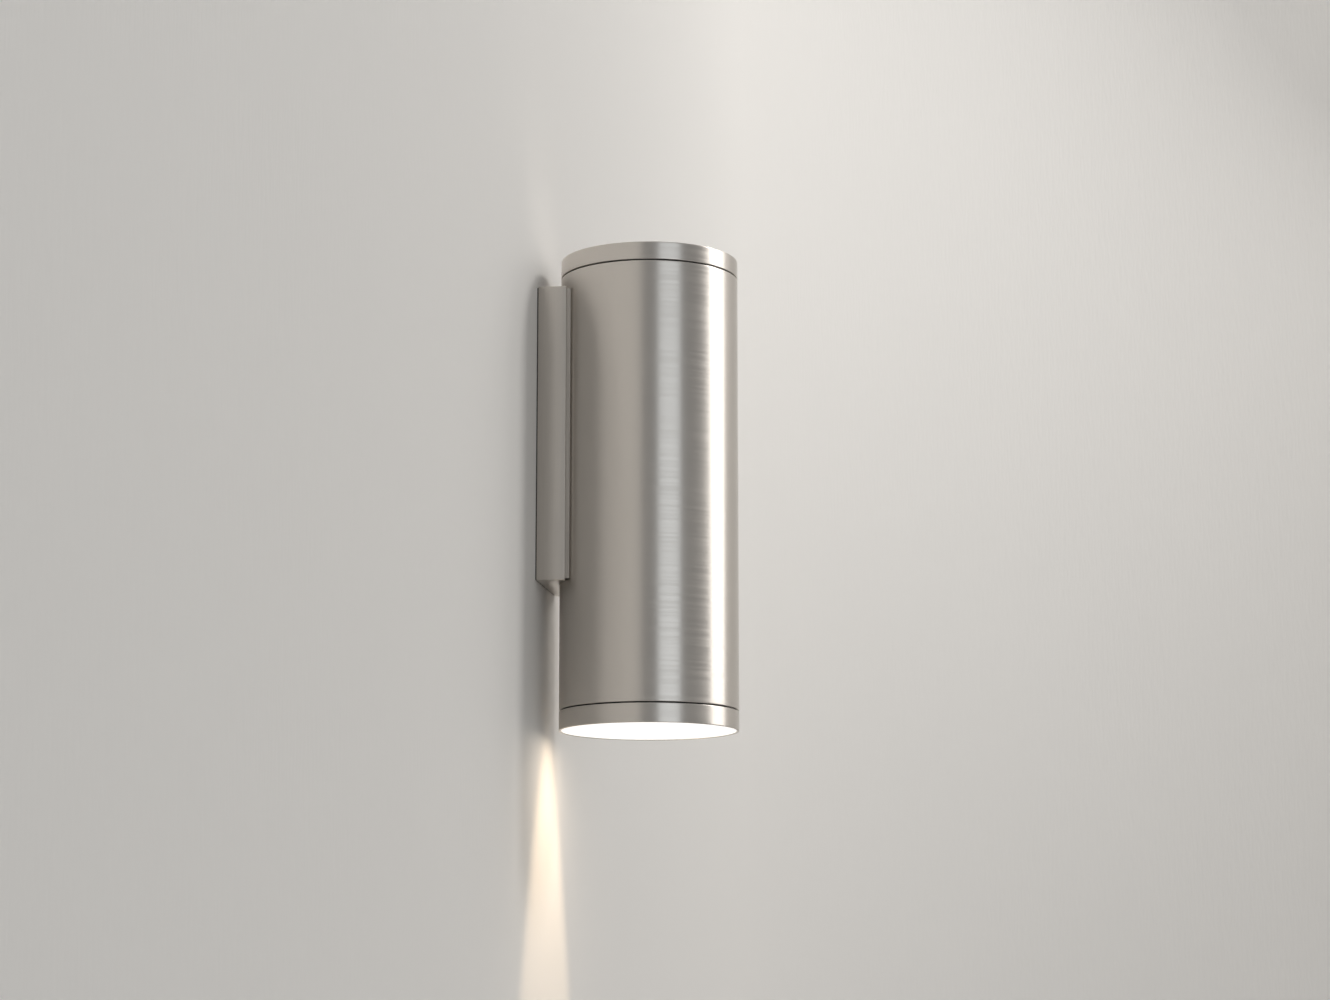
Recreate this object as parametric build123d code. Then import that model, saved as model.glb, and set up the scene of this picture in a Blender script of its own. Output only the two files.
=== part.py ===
from build123d import *
import os
from math import cos, radians, sin, sqrt

# A tube wall light: a closed round body whose lamp shines down through a flush lens, held off
# the wall by a flat bracket that wraps the back of the tube. Sizes are in millimetres.
# Origin: centre of the bracket on the wall plane. X to the right, Y into the wall, Z up.

# ---------------------------------------------------------------- driving dimensions
# Body tube
tube_diameter = 60.0
tube_wall = 1.5
light_height = 160.0
tube_to_wall = 5.5
edge_break = 0.2

# End rings and the seals that show as two dark lines
bezel_height = 6.35
cap_height = 5.9
seal_thickness = 0.5
seal_recess = 0.8
cap_roof = 2.0
cap_spigot_wall = 1.8
cap_spigot_height = 7.0
bezel_spigot_wall = 2.4
bezel_spigot_height = 7.0
thread_fit = 0.1
press_fit = 0.03

# Lens
lens_lip = 0.8
lens_recess = 0.2
lens_thickness = 3.0
lens_fit = 0.1
lens_gasket_thickness = 0.4
lens_rib_width = 0.8
lens_rib_height = 2.0

# Bracket: cover, saddle and gasket
bracket_width = 37.0
bracket_reach = 10.0
bracket_below_top = 11.3
bracket_above_foot = 48.7
cover_wall = 0.6
cover_corner = 0.5
cover_fit = 0.05
gasket_thickness = 0.5
gasket_inset = 0.3
saddle_side = 2.5
saddle_pad = 16.0
saddle_corner = 2.0

# Screws that clamp saddle, tube and inner brackets together
saddle_screw = 4.0
saddle_screw_hole = 4.5
saddle_head = 7.0
saddle_head_height = 2.4
saddle_head_fit = 0.4
saddle_seat = 2.2
saddle_nut_across = 7.0
saddle_nut_height = 3.2
saddle_screw_spare = 0.4
saddle_socket = 3.0
thread_gap = 0.02

# Wall plate, a pressed channel
plate_thickness = 1.5
plate_depth = 6.0
plate_bend = 2.0
plate_fit = 0.3
wall_hole = 4.5
wall_hole_inset = 8.05
cable_bore = 8.0
grommet_neck = 2.5
grommet_flange_width = 1.5
grommet_flange = 1.7
earth_screw_x = 8.8
earth_screw_z = 14.5
earth_screw = 4.0
earth_screw_head = 7.0
earth_screw_head_height = 1.8
cup_washer = 8.0
cup_washer_hole = 4.3
cup_washer_thickness = 0.7

# Locking screws, in the side wall of the saddle
lock_screw = 3.0
lock_screw_length = 3.0
lock_screw_spacing = 44.0
lock_screw_depth = 3.8
lock_tip_gap = 0.1
lock_socket = 1.5
lock_access_fit = 0.3

# Wiring window in the back of the tube
wiring_window_width = 21.0
wiring_window_height = 34.0
wiring_window_corner = 3.0
wiring_window_below_block = 2.0

# Inner brackets, bent from one strip size
strip_width = 18.0
strip_thickness = 1.2
strip_bend = 1.8
strip_end = 5.65
strip_end_gap = 0.9
shelf_reach = 14.0
web_below_screw = 6.5
terminal_step = 16.85

# Lamp: a reflector lamp with a twist-lock pin base
lamp_clearance = 1.2
lamp_room = 1.0
lamp_rim_height = 4.5
lamp_rim_wall = 1.6
lamp_lens_thickness = 2.5
lamp_body_height = 35.0
lamp_neck_diameter = 29.0
lamp_bowl_floor = 24.0
lamp_board_diameter = 14.0
lamp_board_thickness = 1.6
lamp_base_height = 12.0
lamp_base_diameter = 27.0
lamp_base_plug = 22.0
lamp_base_plug_height = 3.0
lamp_base_chamfer = 1.0
pin_spacing = 10.0
pin_shank = 3.0
pin_shank_length = 3.2
pin_head = 5.0
pin_head_height = 2.2
pin_root = 4.0

# Lamp holder: a ceramic face with the keyhole slots, and a ceramic body behind it
holder_diameter = 30.0
holder_height = 17.0
holder_chamfer = 0.6
holder_gap = 0.3
holder_lip = 2.6
holder_cavity = 3.2
slot_fit = 0.25
twist_angle = 45.0
holder_screw_spacing = 22.0
holder_screw_turn = 35.0
holder_screw = 3.0
holder_screw_length = 14.0
holder_screw_spare = 0.4
holder_screw_head = 5.4
holder_screw_head_height = 2.0
contact_diameter = 4.4
contact_thickness = 0.4
lead_window = 13.6

# Terminal block
pole_pitch = 6.5
pole_count = 3
block_depth = 12.0
block_height = 16.0
block_below_web = 10.8
block_margin = 2.0
block_chamfer = 0.4
pole_groove = 0.8
clamp_side = 4.2
clamp_length = 13.0
clamp_bore = 2.8
clamp_fit = 0.05
clamp_screw = 2.5
clamp_screw_spacing = 7.0
clamp_screw_head = 3.4
clamp_screw_head_height = 1.2
clamp_screw_stand = 1.0
clamp_well = 3.8
wire_entry = 3.2
fixing_screw = 2.0
fixing_head = 3.2
fixing_head_height = 1.0
fixing_offset = 1.0

# Leads
lead_diameter = 1.8
lead_core = 1.0
lead_bend = 5.5
lead_strip = 5.0
lead_fit = 0.1

# Earth tag on the lamp bracket
tag_thickness = 0.8
tag_ring = 6.0
tag_screw = 3.5
tag_screw_head = 5.6
tag_screw_head_height = 1.8
tag_screw_length = 4.0
tag_offset = 5.4
tag_barrel = 3.2
tag_barrel_height = 5.0

# ---------------------------------------------------------------- worked-out places
tube_radius = tube_diameter / 2
bore_radius = tube_radius - tube_wall
axis_y = -(tube_to_wall + tube_radius)
wall_side = -axis_y
bracket_height = light_height - bracket_below_top - bracket_above_foot
bracket_rise = bracket_above_foot + bracket_height / 2
tube_low = bezel_height + seal_thickness
tube_high = light_height - cap_height - seal_thickness
in_tube = Pos(0, axis_y, -bracket_rise)
spigot_radius = bore_radius - thread_fit
bezel_bore_radius = spigot_radius - bezel_spigot_wall
lens_radius = tube_radius - lens_lip - lens_fit
lens_back = lens_recess + lens_thickness
lens_shelf = lens_back + lens_gasket_thickness
bezel_top = tube_low + bezel_spigot_height
cap_foot = tube_high - cap_spigot_height
saddle_width = bracket_width - 2 * (cover_wall + cover_fit)
saddle_height = bracket_height - 2 * (cover_wall + cover_fit)
window_width = saddle_width - 2 * saddle_side
window_height = saddle_height - 2 * saddle_pad
saddle_screw_z = (saddle_height - saddle_pad) / 2
saddle_seat_y = -(tube_to_wall - saddle_seat)
plate_height = window_height - 2 * plate_fit
wall_hole_z = plate_height / 2 - wall_hole_inset
lock_seat_x = window_width / 2 - plate_fit
strip_outer = sqrt(bore_radius**2 - (strip_width / 2) ** 2) - press_fit
strip_inner = strip_outer - strip_thickness
strip_middle = strip_outer - strip_thickness / 2
terminal_plane = strip_middle - terminal_step
lamp_radius = bezel_bore_radius - lamp_room
lamp_front = bezel_top + lamp_clearance
lamp_top = lamp_front + lamp_body_height + lamp_base_height
holder_low = lamp_top + holder_gap
holder_top = holder_low + holder_height
cavity_low = holder_low + holder_lip
cavity_top = cavity_low + holder_cavity
shelf_top = holder_top + strip_thickness
lead_level = shelf_top + lead_bend
terminal_web = bracket_rise + saddle_screw_z - web_below_screw
block_low = terminal_web - block_below_web - block_height
block_middle = block_low + block_height / 2
block_back = terminal_plane + strip_thickness / 2
block_front = block_back + block_depth
clamp_y = block_back + block_depth / 2
clamp_low = block_low + (block_height - clamp_length) / 2
pole_places = [(i - (pole_count - 1) / 2) * pole_pitch for i in range(pole_count)]
holder_screw_x = holder_screw_spacing / 2 * sin(radians(holder_screw_turn))
holder_screw_y = holder_screw_spacing / 2 * cos(radians(holder_screw_turn))
holder_screw_places = [(-holder_screw_x, -holder_screw_y), (holder_screw_x, holder_screw_y)]
tag_screw_y = clamp_y + tag_offset


# ---------------------------------------------------------------- helpers
def turned(*points):
    """Solid of revolution about Z, from (radius, height) points."""
    return revolve(Plane.XZ * make_face(Polyline(*points, close=True)), Axis.Z)


def ring(outer, inner, low, high):
    """Flat ring about Z between two heights."""
    return Pos(0, 0, low) * extrude(Circle(outer) - Circle(inner), high - low)


def rod_x(radius, y, z, start, end):
    """Round bar along X from start to end."""
    return extrude(Plane(origin=(start, y, z), z_dir=(1, 0, 0)) * Circle(radius), end - start)


def rod_y(radius, x, z, start, end):
    """Round bar along Y from start up to end."""
    return extrude(Plane(origin=(x, start, z), z_dir=(0, 1, 0)) * Circle(radius), end - start)


def rod_z(radius, x, y, low, high):
    """Round bar along Z between two heights."""
    return Pos(x, y, low) * extrude(Circle(radius), high - low)


def slab(width, height, corner, back, front):
    """Rounded plate parallel to the wall, from its back, near the wall, to its front."""
    outline = RectangleRounded(width, height, corner)
    return extrude(Plane(origin=(0, back, 0), x_dir=(1, 0, 0), z_dir=(0, -1, 0)) * outline, back - front)


def bent_strip(*points):
    """Strip of the inner brackets' section along (y, z) points, with a bend at each corner."""
    path = FilletPolyline(*points, radius=strip_bend)
    return extrude(Plane.YZ * trace(path, strip_thickness), strip_width / 2, both=True)


def lead(start, corners, end):
    """Insulated lead along straight runs and bends."""
    path = FilletPolyline(start, *corners, end, radius=lead_bend)
    return sweep(Plane(origin=path @ 0, z_dir=path % 0) * Circle(lead_diameter / 2), path)


# ---------------------------------------------------------------- wall side
def wall_plate():
    half = window_width / 2 - plate_fit
    outside = Pos(0, -plate_depth / 2) * Rectangle(2 * half, plate_depth)
    outside = fillet(outside.vertices().group_by(Axis.Y)[-1], plate_bend)
    inside = Pos(0, -plate_thickness - plate_depth / 2) * Rectangle(2 * (half - plate_thickness), plate_depth)
    inside = fillet(inside.vertices().group_by(Axis.Y)[-1], plate_bend - plate_thickness)
    plate = Pos(0, 0, -plate_height / 2) * extrude(outside - inside, plate_height)
    plate &= slab(2 * half, plate_height, saddle_corner, 0, -plate_depth)
    for z in (-wall_hole_z, wall_hole_z):
        plate -= rod_y(wall_hole / 2, 0, z, -plate_thickness, 0)
    plate -= rod_y(cable_bore / 2 + grommet_neck, 0, 0, -plate_thickness, 0)
    plate -= rod_y(earth_screw / 2 + thread_gap, earth_screw_x, earth_screw_z, -plate_thickness, 0)
    return plate


def cable_grommet():
    neck = cable_bore / 2 + grommet_neck
    flange = neck + grommet_flange_width
    front = plate_thickness + grommet_flange
    points = (
        (cable_bore / 2, 0), (neck, 0), (neck, plate_thickness), (flange, plate_thickness),
        (flange, front - grommet_flange / 2), (flange - grommet_flange / 2, front), (cable_bore / 2, front),
    )
    return Rot(90, 0, 0) * turned(*points)


def plate_earth_screw():
    seat = -plate_thickness - cup_washer_thickness
    shank = rod_y(earth_screw / 2, earth_screw_x, earth_screw_z, seat, -edge_break)
    head = rod_y(earth_screw_head / 2, earth_screw_x, earth_screw_z, seat - earth_screw_head_height, seat)
    return shank + head


def plate_earth_washer():
    front = -plate_thickness - cup_washer_thickness
    disc = rod_y(cup_washer / 2, earth_screw_x, earth_screw_z, front, -plate_thickness)
    return disc - rod_y(cup_washer_hole / 2, earth_screw_x, earth_screw_z, front, -plate_thickness)


# ---------------------------------------------------------------- bracket
def bracket_cover():
    frame = slab(bracket_width, bracket_height, cover_corner, -gasket_thickness, -bracket_reach)
    frame = chamfer(frame.faces().sort_by(Axis.Y)[0].edges(), edge_break)
    frame -= slab(saddle_width + 2 * cover_fit, saddle_height + 2 * cover_fit, cover_fit,
                  -gasket_thickness, -bracket_reach)
    frame -= rod_z(tube_radius + cover_fit, 0, axis_y, -bracket_height, bracket_height)
    for z in (-lock_screw_spacing / 2, lock_screw_spacing / 2):
        frame -= rod_x(lock_screw / 2 + lock_access_fit, -lock_screw_depth, z,
                       saddle_width / 2, bracket_width / 2)
    return frame


def saddle_block():
    block = slab(saddle_width, saddle_height, cover_fit, -gasket_thickness, axis_y)
    block -= slab(window_width, window_height, saddle_corner, -gasket_thickness, axis_y)
    block -= rod_z(tube_radius + press_fit, 0, axis_y, -bracket_height, bracket_height)
    for z in (-saddle_screw_z, saddle_screw_z):
        block -= rod_y(saddle_screw_hole / 2, 0, z, axis_y, 0)
        block -= rod_y(saddle_head / 2 + saddle_head_fit, 0, z, saddle_seat_y, 0)
    for z in (-lock_screw_spacing / 2, lock_screw_spacing / 2):
        block -= rod_x(lock_screw / 2 + thread_gap, -lock_screw_depth, z, 0, saddle_width)
    return block


def wall_gasket():
    inset = 2 * gasket_inset
    sheet = slab(bracket_width - inset, bracket_height - inset, cover_corner, 0, -gasket_thickness)
    sheet -= slab(window_width, window_height, saddle_corner, 0, -gasket_thickness)
    for z in (-saddle_screw_z, saddle_screw_z):
        sheet -= rod_y(saddle_head / 2 + saddle_head_fit, 0, z, -gasket_thickness, 0)
    return sheet


def locking_screws():
    tip = lock_seat_x + lock_tip_gap
    screws = []
    for z in (-lock_screw_spacing / 2, lock_screw_spacing / 2):
        screw = rod_x(lock_screw / 2, -lock_screw_depth, z, tip, tip + lock_screw_length)
        socket = Plane(origin=(tip + lock_screw_length / 2, -lock_screw_depth, z), z_dir=(1, 0, 0))
        screws.append(screw - extrude(socket * RegularPolygon(lock_socket / 2, 6, major_radius=False),
                                      lock_screw_length))
    return Compound(children=screws)


def saddle_screws():
    nut_end = strip_inner - saddle_nut_height
    screws = []
    for z in (-saddle_screw_z, saddle_screw_z):
        shank = rod_y(saddle_screw / 2, 0, z, axis_y + nut_end + saddle_screw_spare, saddle_seat_y)
        head = rod_y(saddle_head / 2, 0, z, saddle_seat_y, saddle_seat_y + saddle_head_height)
        socket = Plane(origin=(0, saddle_seat_y + saddle_head_height / 2, z), z_dir=(0, 1, 0))
        head -= extrude(socket * RegularPolygon(saddle_socket / 2, 6, major_radius=False), saddle_head_height)
        screws.append(shank + head)
    return Compound(children=screws)


def saddle_nuts():
    nuts = []
    for z in (-saddle_screw_z, saddle_screw_z):
        face = Plane(origin=(0, axis_y + strip_inner, z), z_dir=(0, -1, 0))
        hexagon = RegularPolygon(saddle_nut_across / 2, 6, major_radius=False)
        nuts.append(extrude(face * (hexagon - Circle(saddle_screw / 2 + thread_gap)), saddle_nut_height))
    return Compound(children=nuts)


# ---------------------------------------------------------------- tube and top cap
def body_tube():
    points = (
        (bore_radius, tube_low), (tube_radius - edge_break, tube_low),
        (tube_radius, tube_low + edge_break), (tube_radius, tube_high - edge_break),
        (tube_radius - edge_break, tube_high), (bore_radius, tube_high),
    )
    tube = in_tube * turned(*points)
    window = slab(wiring_window_width, wiring_window_height, wiring_window_corner, 0, axis_y)
    tube -= Pos(0, 0, block_middle - wiring_window_below_block - bracket_rise) * window
    for z in (-saddle_screw_z, saddle_screw_z):
        tube -= rod_y(saddle_screw_hole / 2, 0, z, axis_y, 0)
    return tube


def top_cap():
    spigot = bore_radius - press_fit
    hollow = spigot - cap_spigot_wall
    rim = light_height - cap_height
    points = (
        (0, light_height - cap_roof), (hollow, light_height - cap_roof), (hollow, cap_foot),
        (spigot, cap_foot), (spigot, rim), (tube_radius - edge_break, rim), (tube_radius, rim + edge_break),
        (tube_radius, light_height - edge_break), (tube_radius - edge_break, light_height),
        (0, light_height),
    )
    return in_tube * turned(*points)


def cap_seal():
    return in_tube * ring(tube_radius - seal_recess, bore_radius, tube_high, tube_high + seal_thickness)


# ---------------------------------------------------------------- bezel and lens
def bezel():
    pocket = lens_radius + lens_fit
    points = (
        (pocket, 0), (tube_radius - edge_break, 0), (tube_radius, edge_break),
        (tube_radius, bezel_height - edge_break), (tube_radius - edge_break, bezel_height),
        (spigot_radius, bezel_height), (spigot_radius, bezel_top - edge_break),
        (spigot_radius - edge_break, bezel_top), (bezel_bore_radius, bezel_top),
        (bezel_bore_radius, lens_shelf), (pocket, lens_shelf),
    )
    return in_tube * turned(*points)


def bezel_seal():
    return in_tube * ring(tube_radius - seal_recess, bore_radius, bezel_height, tube_low)


def lens():
    rib = bezel_bore_radius - lens_fit
    points = (
        (0, lens_recess), (lens_radius - edge_break, lens_recess), (lens_radius, lens_recess + edge_break),
        (lens_radius, lens_back), (rib, lens_back), (rib, lens_back + lens_rib_height),
        (rib - lens_rib_width, lens_back + lens_rib_height), (rib - lens_rib_width, lens_back),
        (0, lens_back),
    )
    return in_tube * turned(*points)


def lens_gasket():
    return in_tube * ring(lens_radius, bezel_bore_radius, lens_back, lens_shelf)


# ---------------------------------------------------------------- inner brackets
def lamp_bracket():
    shelf = holder_top + strip_thickness / 2
    screw_height = bracket_rise - saddle_screw_z
    strip = bent_strip((strip_middle, screw_height - strip_end), (strip_middle, shelf), (-shelf_reach, shelf))
    strip -= rod_z(lead_window / 2, 0, 0, holder_top, shelf_top)
    for x, y in holder_screw_places:
        strip -= rod_z(holder_screw / 2 + press_fit, x, y, holder_top, shelf_top)
    strip -= rod_z(tag_screw / 2 + thread_gap, 0, tag_screw_y, holder_top, shelf_top)
    strip -= rod_y(saddle_screw_hole / 2, 0, screw_height, 0, wall_side)
    return in_tube * strip


def terminal_bracket():
    strip = bent_strip(
        (strip_middle, cap_foot - strip_end_gap), (strip_middle, terminal_web),
        (terminal_plane, terminal_web), (terminal_plane, block_low - block_margin),
    )
    strip -= rod_y(saddle_screw_hole / 2, 0, bracket_rise + saddle_screw_z, 0, wall_side)
    for x in (-pole_pitch / 2, pole_pitch / 2):
        strip -= rod_y(fixing_screw / 2 + thread_gap, x, block_middle, 0, block_back)
    return in_tube * strip


# ---------------------------------------------------------------- lamp holder
def pin_track(width):
    """Outline, for one pin, of the arc from its locked place back to where it enters."""
    arc = CenterArc((0, 0), pin_spacing / 2, 0, -twist_angle)
    return SlotArc(arc, width)


def holder_half(low, high, chamfered):
    """Round ceramic half of the holder, chamfered at one end, with its two screw holes."""
    half = rod_z(holder_diameter / 2, 0, 0, low, high)
    half = chamfer(half.edges().filter_by_position(Axis.Z, chamfered, chamfered), holder_chamfer)
    for x, y in holder_screw_places:
        half -= rod_z(holder_screw / 2 + thread_gap, x, y, max(low, holder_top - holder_screw_length), high)
    return half


def holder_face():
    face = holder_half(holder_low, cavity_top, holder_low)
    mouth = Rot(0, 0, -twist_angle) * Pos(pin_spacing / 2, 0) * Circle(pin_head / 2 + slot_fit)
    neck_track = Pos(0, 0, holder_low) * extrude(pin_track(pin_shank + 2 * slot_fit) + mouth, holder_lip)
    head_track = Pos(0, 0, cavity_low) * extrude(pin_track(pin_head + 2 * slot_fit), holder_cavity)
    for turn in (0, 180):
        face -= Rot(0, 0, turn) * (neck_track + head_track)
    return in_tube * face


def holder_body():
    body = holder_half(cavity_top, holder_top, holder_top)
    for x in (-pin_spacing / 2, pin_spacing / 2):
        body -= rod_z((lead_diameter + lead_fit) / 2, x, 0, cavity_top, holder_top)
    return in_tube * body


def holder_contacts():
    leaves = [
        in_tube * rod_z(contact_diameter / 2, x, 0, cavity_top - contact_thickness, cavity_top)
        for x in (-pin_spacing / 2, pin_spacing / 2)
    ]
    return Compound(children=leaves)


def holder_screws():
    tip = holder_top - holder_screw_length + holder_screw_spare
    screws = []
    for x, y in holder_screw_places:
        shank = rod_z(holder_screw / 2, x, y, tip, shelf_top)
        head = rod_z(holder_screw_head / 2, x, y, shelf_top, shelf_top + holder_screw_head_height)
        screws.append(in_tube * (shank + head))
    return Compound(children=screws)


# ---------------------------------------------------------------- lamp
def lamp_body():
    throat = lamp_neck_diameter / 2
    seat = lamp_front + lamp_lens_thickness
    top = lamp_front + lamp_body_height
    board = lamp_front + lamp_bowl_floor
    bowl = lamp_radius - 2 * lamp_rim_wall
    floor = lamp_board_diameter / 2
    outer = RadiusArc((lamp_radius - edge_break, lamp_front + lamp_rim_height + edge_break),
                      (throat, top - lamp_base_plug_height), -4 * lamp_radius)
    inner = RadiusArc((floor, board), (bowl, seat), 2 * lamp_radius)
    outline = Curve() + [
        Polyline((bowl, seat), (lamp_radius - lamp_rim_wall, seat), (lamp_radius - lamp_rim_wall, lamp_front),
                 (lamp_radius, lamp_front), (lamp_radius, lamp_front + lamp_rim_height), outer @ 0),
        outer,
        Polyline(outer @ 1, (throat, top), (lamp_base_plug / 2 + press_fit, top),
                 (lamp_base_plug / 2 + press_fit, top - lamp_base_plug_height),
                 (0, top - lamp_base_plug_height), (0, board), (floor, board)),
        inner,
    ]
    return in_tube * revolve(Plane.XZ * make_face(outline), Axis.Z)


def lamp_lens():
    radius = lamp_radius - lamp_rim_wall - press_fit
    back = lamp_front + lamp_lens_thickness
    return in_tube * turned((0, lamp_front), (radius - edge_break, lamp_front),
                            (radius, lamp_front + edge_break), (radius, back), (0, back))


def lamp_board():
    board = lamp_front + lamp_bowl_floor
    return in_tube * rod_z(lamp_board_diameter / 2 - lens_fit, 0, 0, board - lamp_board_thickness, board)


def lamp_base():
    foot = lamp_front + lamp_body_height
    wide = lamp_base_diameter / 2
    plug = lamp_base_plug / 2
    base = turned((0, foot - lamp_base_plug_height), (plug, foot - lamp_base_plug_height), (plug, foot),
                  (wide, foot), (wide, lamp_top - lamp_base_chamfer), (wide - lamp_base_chamfer, lamp_top),
                  (0, lamp_top))
    for x in (-pin_spacing / 2, pin_spacing / 2):
        base -= rod_z(pin_shank / 2, x, 0, lamp_top - pin_root, lamp_top)
    return in_tube * base


def lamp_pins():
    shank_top = lamp_top + pin_shank_length
    pins = [
        in_tube * (
            rod_z(pin_shank / 2, x, 0, lamp_top - pin_root, shank_top)
            + rod_z(pin_head / 2, x, 0, shank_top, shank_top + pin_head_height)
        )
        for x in (-pin_spacing / 2, pin_spacing / 2)
    ]
    return Compound(children=pins)


# ---------------------------------------------------------------- terminal block and wiring
def terminal_block():
    width = pole_count * pole_pitch
    middle = block_middle
    block = Pos(0, clamp_y, middle) * Box(width, block_depth, block_height)
    block = chamfer(block.edges().filter_by(Axis.Z), block_chamfer)
    for i in range(1, pole_count):
        x = (i - pole_count / 2) * pole_pitch
        block -= Pos(x, block_front, middle) * Box(pole_groove, 2 * pole_groove, block_height)
    for x in pole_places:
        side = clamp_side + 2 * clamp_fit
        block -= Pos(x, clamp_y, middle) * Box(side, side, clamp_length + 2 * clamp_fit)
        block -= rod_z(wire_entry / 2, x, clamp_y, block_low, block_low + block_height)
        for z in (middle - clamp_screw_spacing / 2, middle + clamp_screw_spacing / 2):
            block -= rod_y(clamp_well / 2, x, z, clamp_y, block_front)
    for x in (-pole_pitch / 2, pole_pitch / 2):
        block -= rod_y(fixing_screw / 2 + press_fit, x, middle, block_back, block_front)
        block -= rod_y(fixing_head / 2 + press_fit, x, middle, block_front - pole_groove - fixing_head_height,
                       block_front)
    return in_tube * block


def terminal_clamps():
    middle = block_middle
    clamps = []
    for x in pole_places:
        clamp = Pos(x, clamp_y, middle) * Box(clamp_side, clamp_side, clamp_length)
        clamp -= rod_z(clamp_bore / 2, x, clamp_y, clamp_low, clamp_low + clamp_length)
        for z in (middle - clamp_screw_spacing / 2, middle + clamp_screw_spacing / 2):
            clamp -= rod_y(clamp_screw / 2 + thread_gap, x, z, clamp_y, clamp_y + clamp_side)
        clamps.append(in_tube * clamp)
    return Compound(children=clamps)


def clamp_screws():
    middle = block_middle
    seat = clamp_y + clamp_side / 2 + clamp_screw_stand
    screws = []
    for x in pole_places:
        for z in (middle - clamp_screw_spacing / 2, middle + clamp_screw_spacing / 2):
            shank = rod_y(clamp_screw / 2, x, z, clamp_y + lead_core / 2, seat)
            head = rod_y(clamp_screw_head / 2, x, z, seat, seat + clamp_screw_head_height)
            screws.append(in_tube * (shank + head))
    return Compound(children=screws)


def block_screws():
    seat = block_front - pole_groove - fixing_head_height
    middle = block_middle
    screws = []
    for x in (-pole_pitch / 2, pole_pitch / 2):
        shank = rod_y(fixing_screw / 2, x, middle, block_back - strip_thickness - fixing_offset, seat)
        head = rod_y(fixing_head / 2, x, middle, seat, seat + fixing_head_height)
        screws.append(in_tube * (shank + head))
    return Compound(children=screws)


def lamp_lead(side):
    """Lead from a holder contact up and over to the terminal on its own side."""
    contact = side * pin_spacing / 2
    pole = side * pole_pitch
    start = (contact, 0, cavity_top + lead_strip / 2)
    corners = [(contact, 0, lead_level), (pole, clamp_y, lead_level)]
    end = (pole, clamp_y, clamp_low)
    wire = lead(start, corners, end)
    wire += rod_z(lead_core / 2, contact, 0, cavity_top, start[2])
    wire += rod_z(lead_core / 2, pole, clamp_y, clamp_low, clamp_low + lead_strip)
    return in_tube * wire


def earth_lead():
    foot = shelf_top + tag_thickness
    wire = rod_z(lead_diameter / 2, 0, clamp_y, foot, clamp_low)
    wire += rod_z(lead_core / 2, 0, clamp_y, clamp_low, clamp_low + lead_strip)
    return in_tube * wire


def earth_tag():
    top = shelf_top + tag_thickness
    outline = Pos(0, tag_screw_y) * Circle(tag_ring / 2)
    outline += Pos(0, (tag_screw_y + clamp_y) / 2) * Rectangle(tag_barrel, tag_offset)
    outline += Pos(0, clamp_y) * Circle(tag_barrel / 2)
    tag = Pos(0, 0, shelf_top) * extrude(outline, tag_thickness)
    tag -= rod_z(tag_screw / 2 + thread_gap, 0, tag_screw_y, shelf_top, top)
    barrel = Pos(0, clamp_y) * (Circle(tag_barrel / 2) - Circle((lead_diameter + lead_fit) / 2))
    return in_tube * (tag + Pos(0, 0, top) * extrude(barrel, tag_barrel_height))


def earth_tag_screw():
    seat = shelf_top + tag_thickness
    shank = rod_z(tag_screw / 2, 0, tag_screw_y, seat - tag_screw_length, seat)
    return in_tube * (shank + rod_z(tag_screw_head / 2, 0, tag_screw_y, seat, seat + tag_screw_head_height))


# ---------------------------------------------------------------- write every piece
pieces = {
    "wall_plate": wall_plate(),
    "cable_grommet": cable_grommet(),
    "plate_earth_screw": plate_earth_screw(),
    "plate_earth_washer": plate_earth_washer(),
    "bracket_cover": bracket_cover(),
    "saddle_block": saddle_block(),
    "wall_gasket": wall_gasket(),
    "locking_screws": locking_screws(),
    "saddle_screws": saddle_screws(),
    "saddle_nuts": saddle_nuts(),
    "body_tube": body_tube(),
    "top_cap": top_cap(),
    "cap_seal": cap_seal(),
    "bezel": bezel(),
    "bezel_seal": bezel_seal(),
    "lens": lens(),
    "lens_gasket": lens_gasket(),
    "lamp_bracket": lamp_bracket(),
    "terminal_bracket": terminal_bracket(),
    "holder_face": holder_face(),
    "holder_body": holder_body(),
    "holder_contacts": holder_contacts(),
    "holder_screws": holder_screws(),
    "lamp_body": lamp_body(),
    "lamp_lens": lamp_lens(),
    "lamp_board": lamp_board(),
    "lamp_base": lamp_base(),
    "lamp_pins": lamp_pins(),
    "terminal_block": terminal_block(),
    "terminal_clamps": terminal_clamps(),
    "clamp_screws": clamp_screws(),
    "block_screws": block_screws(),
    "live_lead": lamp_lead(-1),
    "neutral_lead": lamp_lead(1),
    "earth_lead": earth_lead(),
    "earth_tag": earth_tag(),
    "earth_tag_screw": earth_tag_screw(),
}
os.makedirs("parts", exist_ok=True)
for name, piece in pieces.items():
    export_step(piece, f"parts/{name}.step")
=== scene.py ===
"""Dresses the tube wall light: brushed steel body, flush lit lens, slim bracket on a pale wall."""

import math

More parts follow.
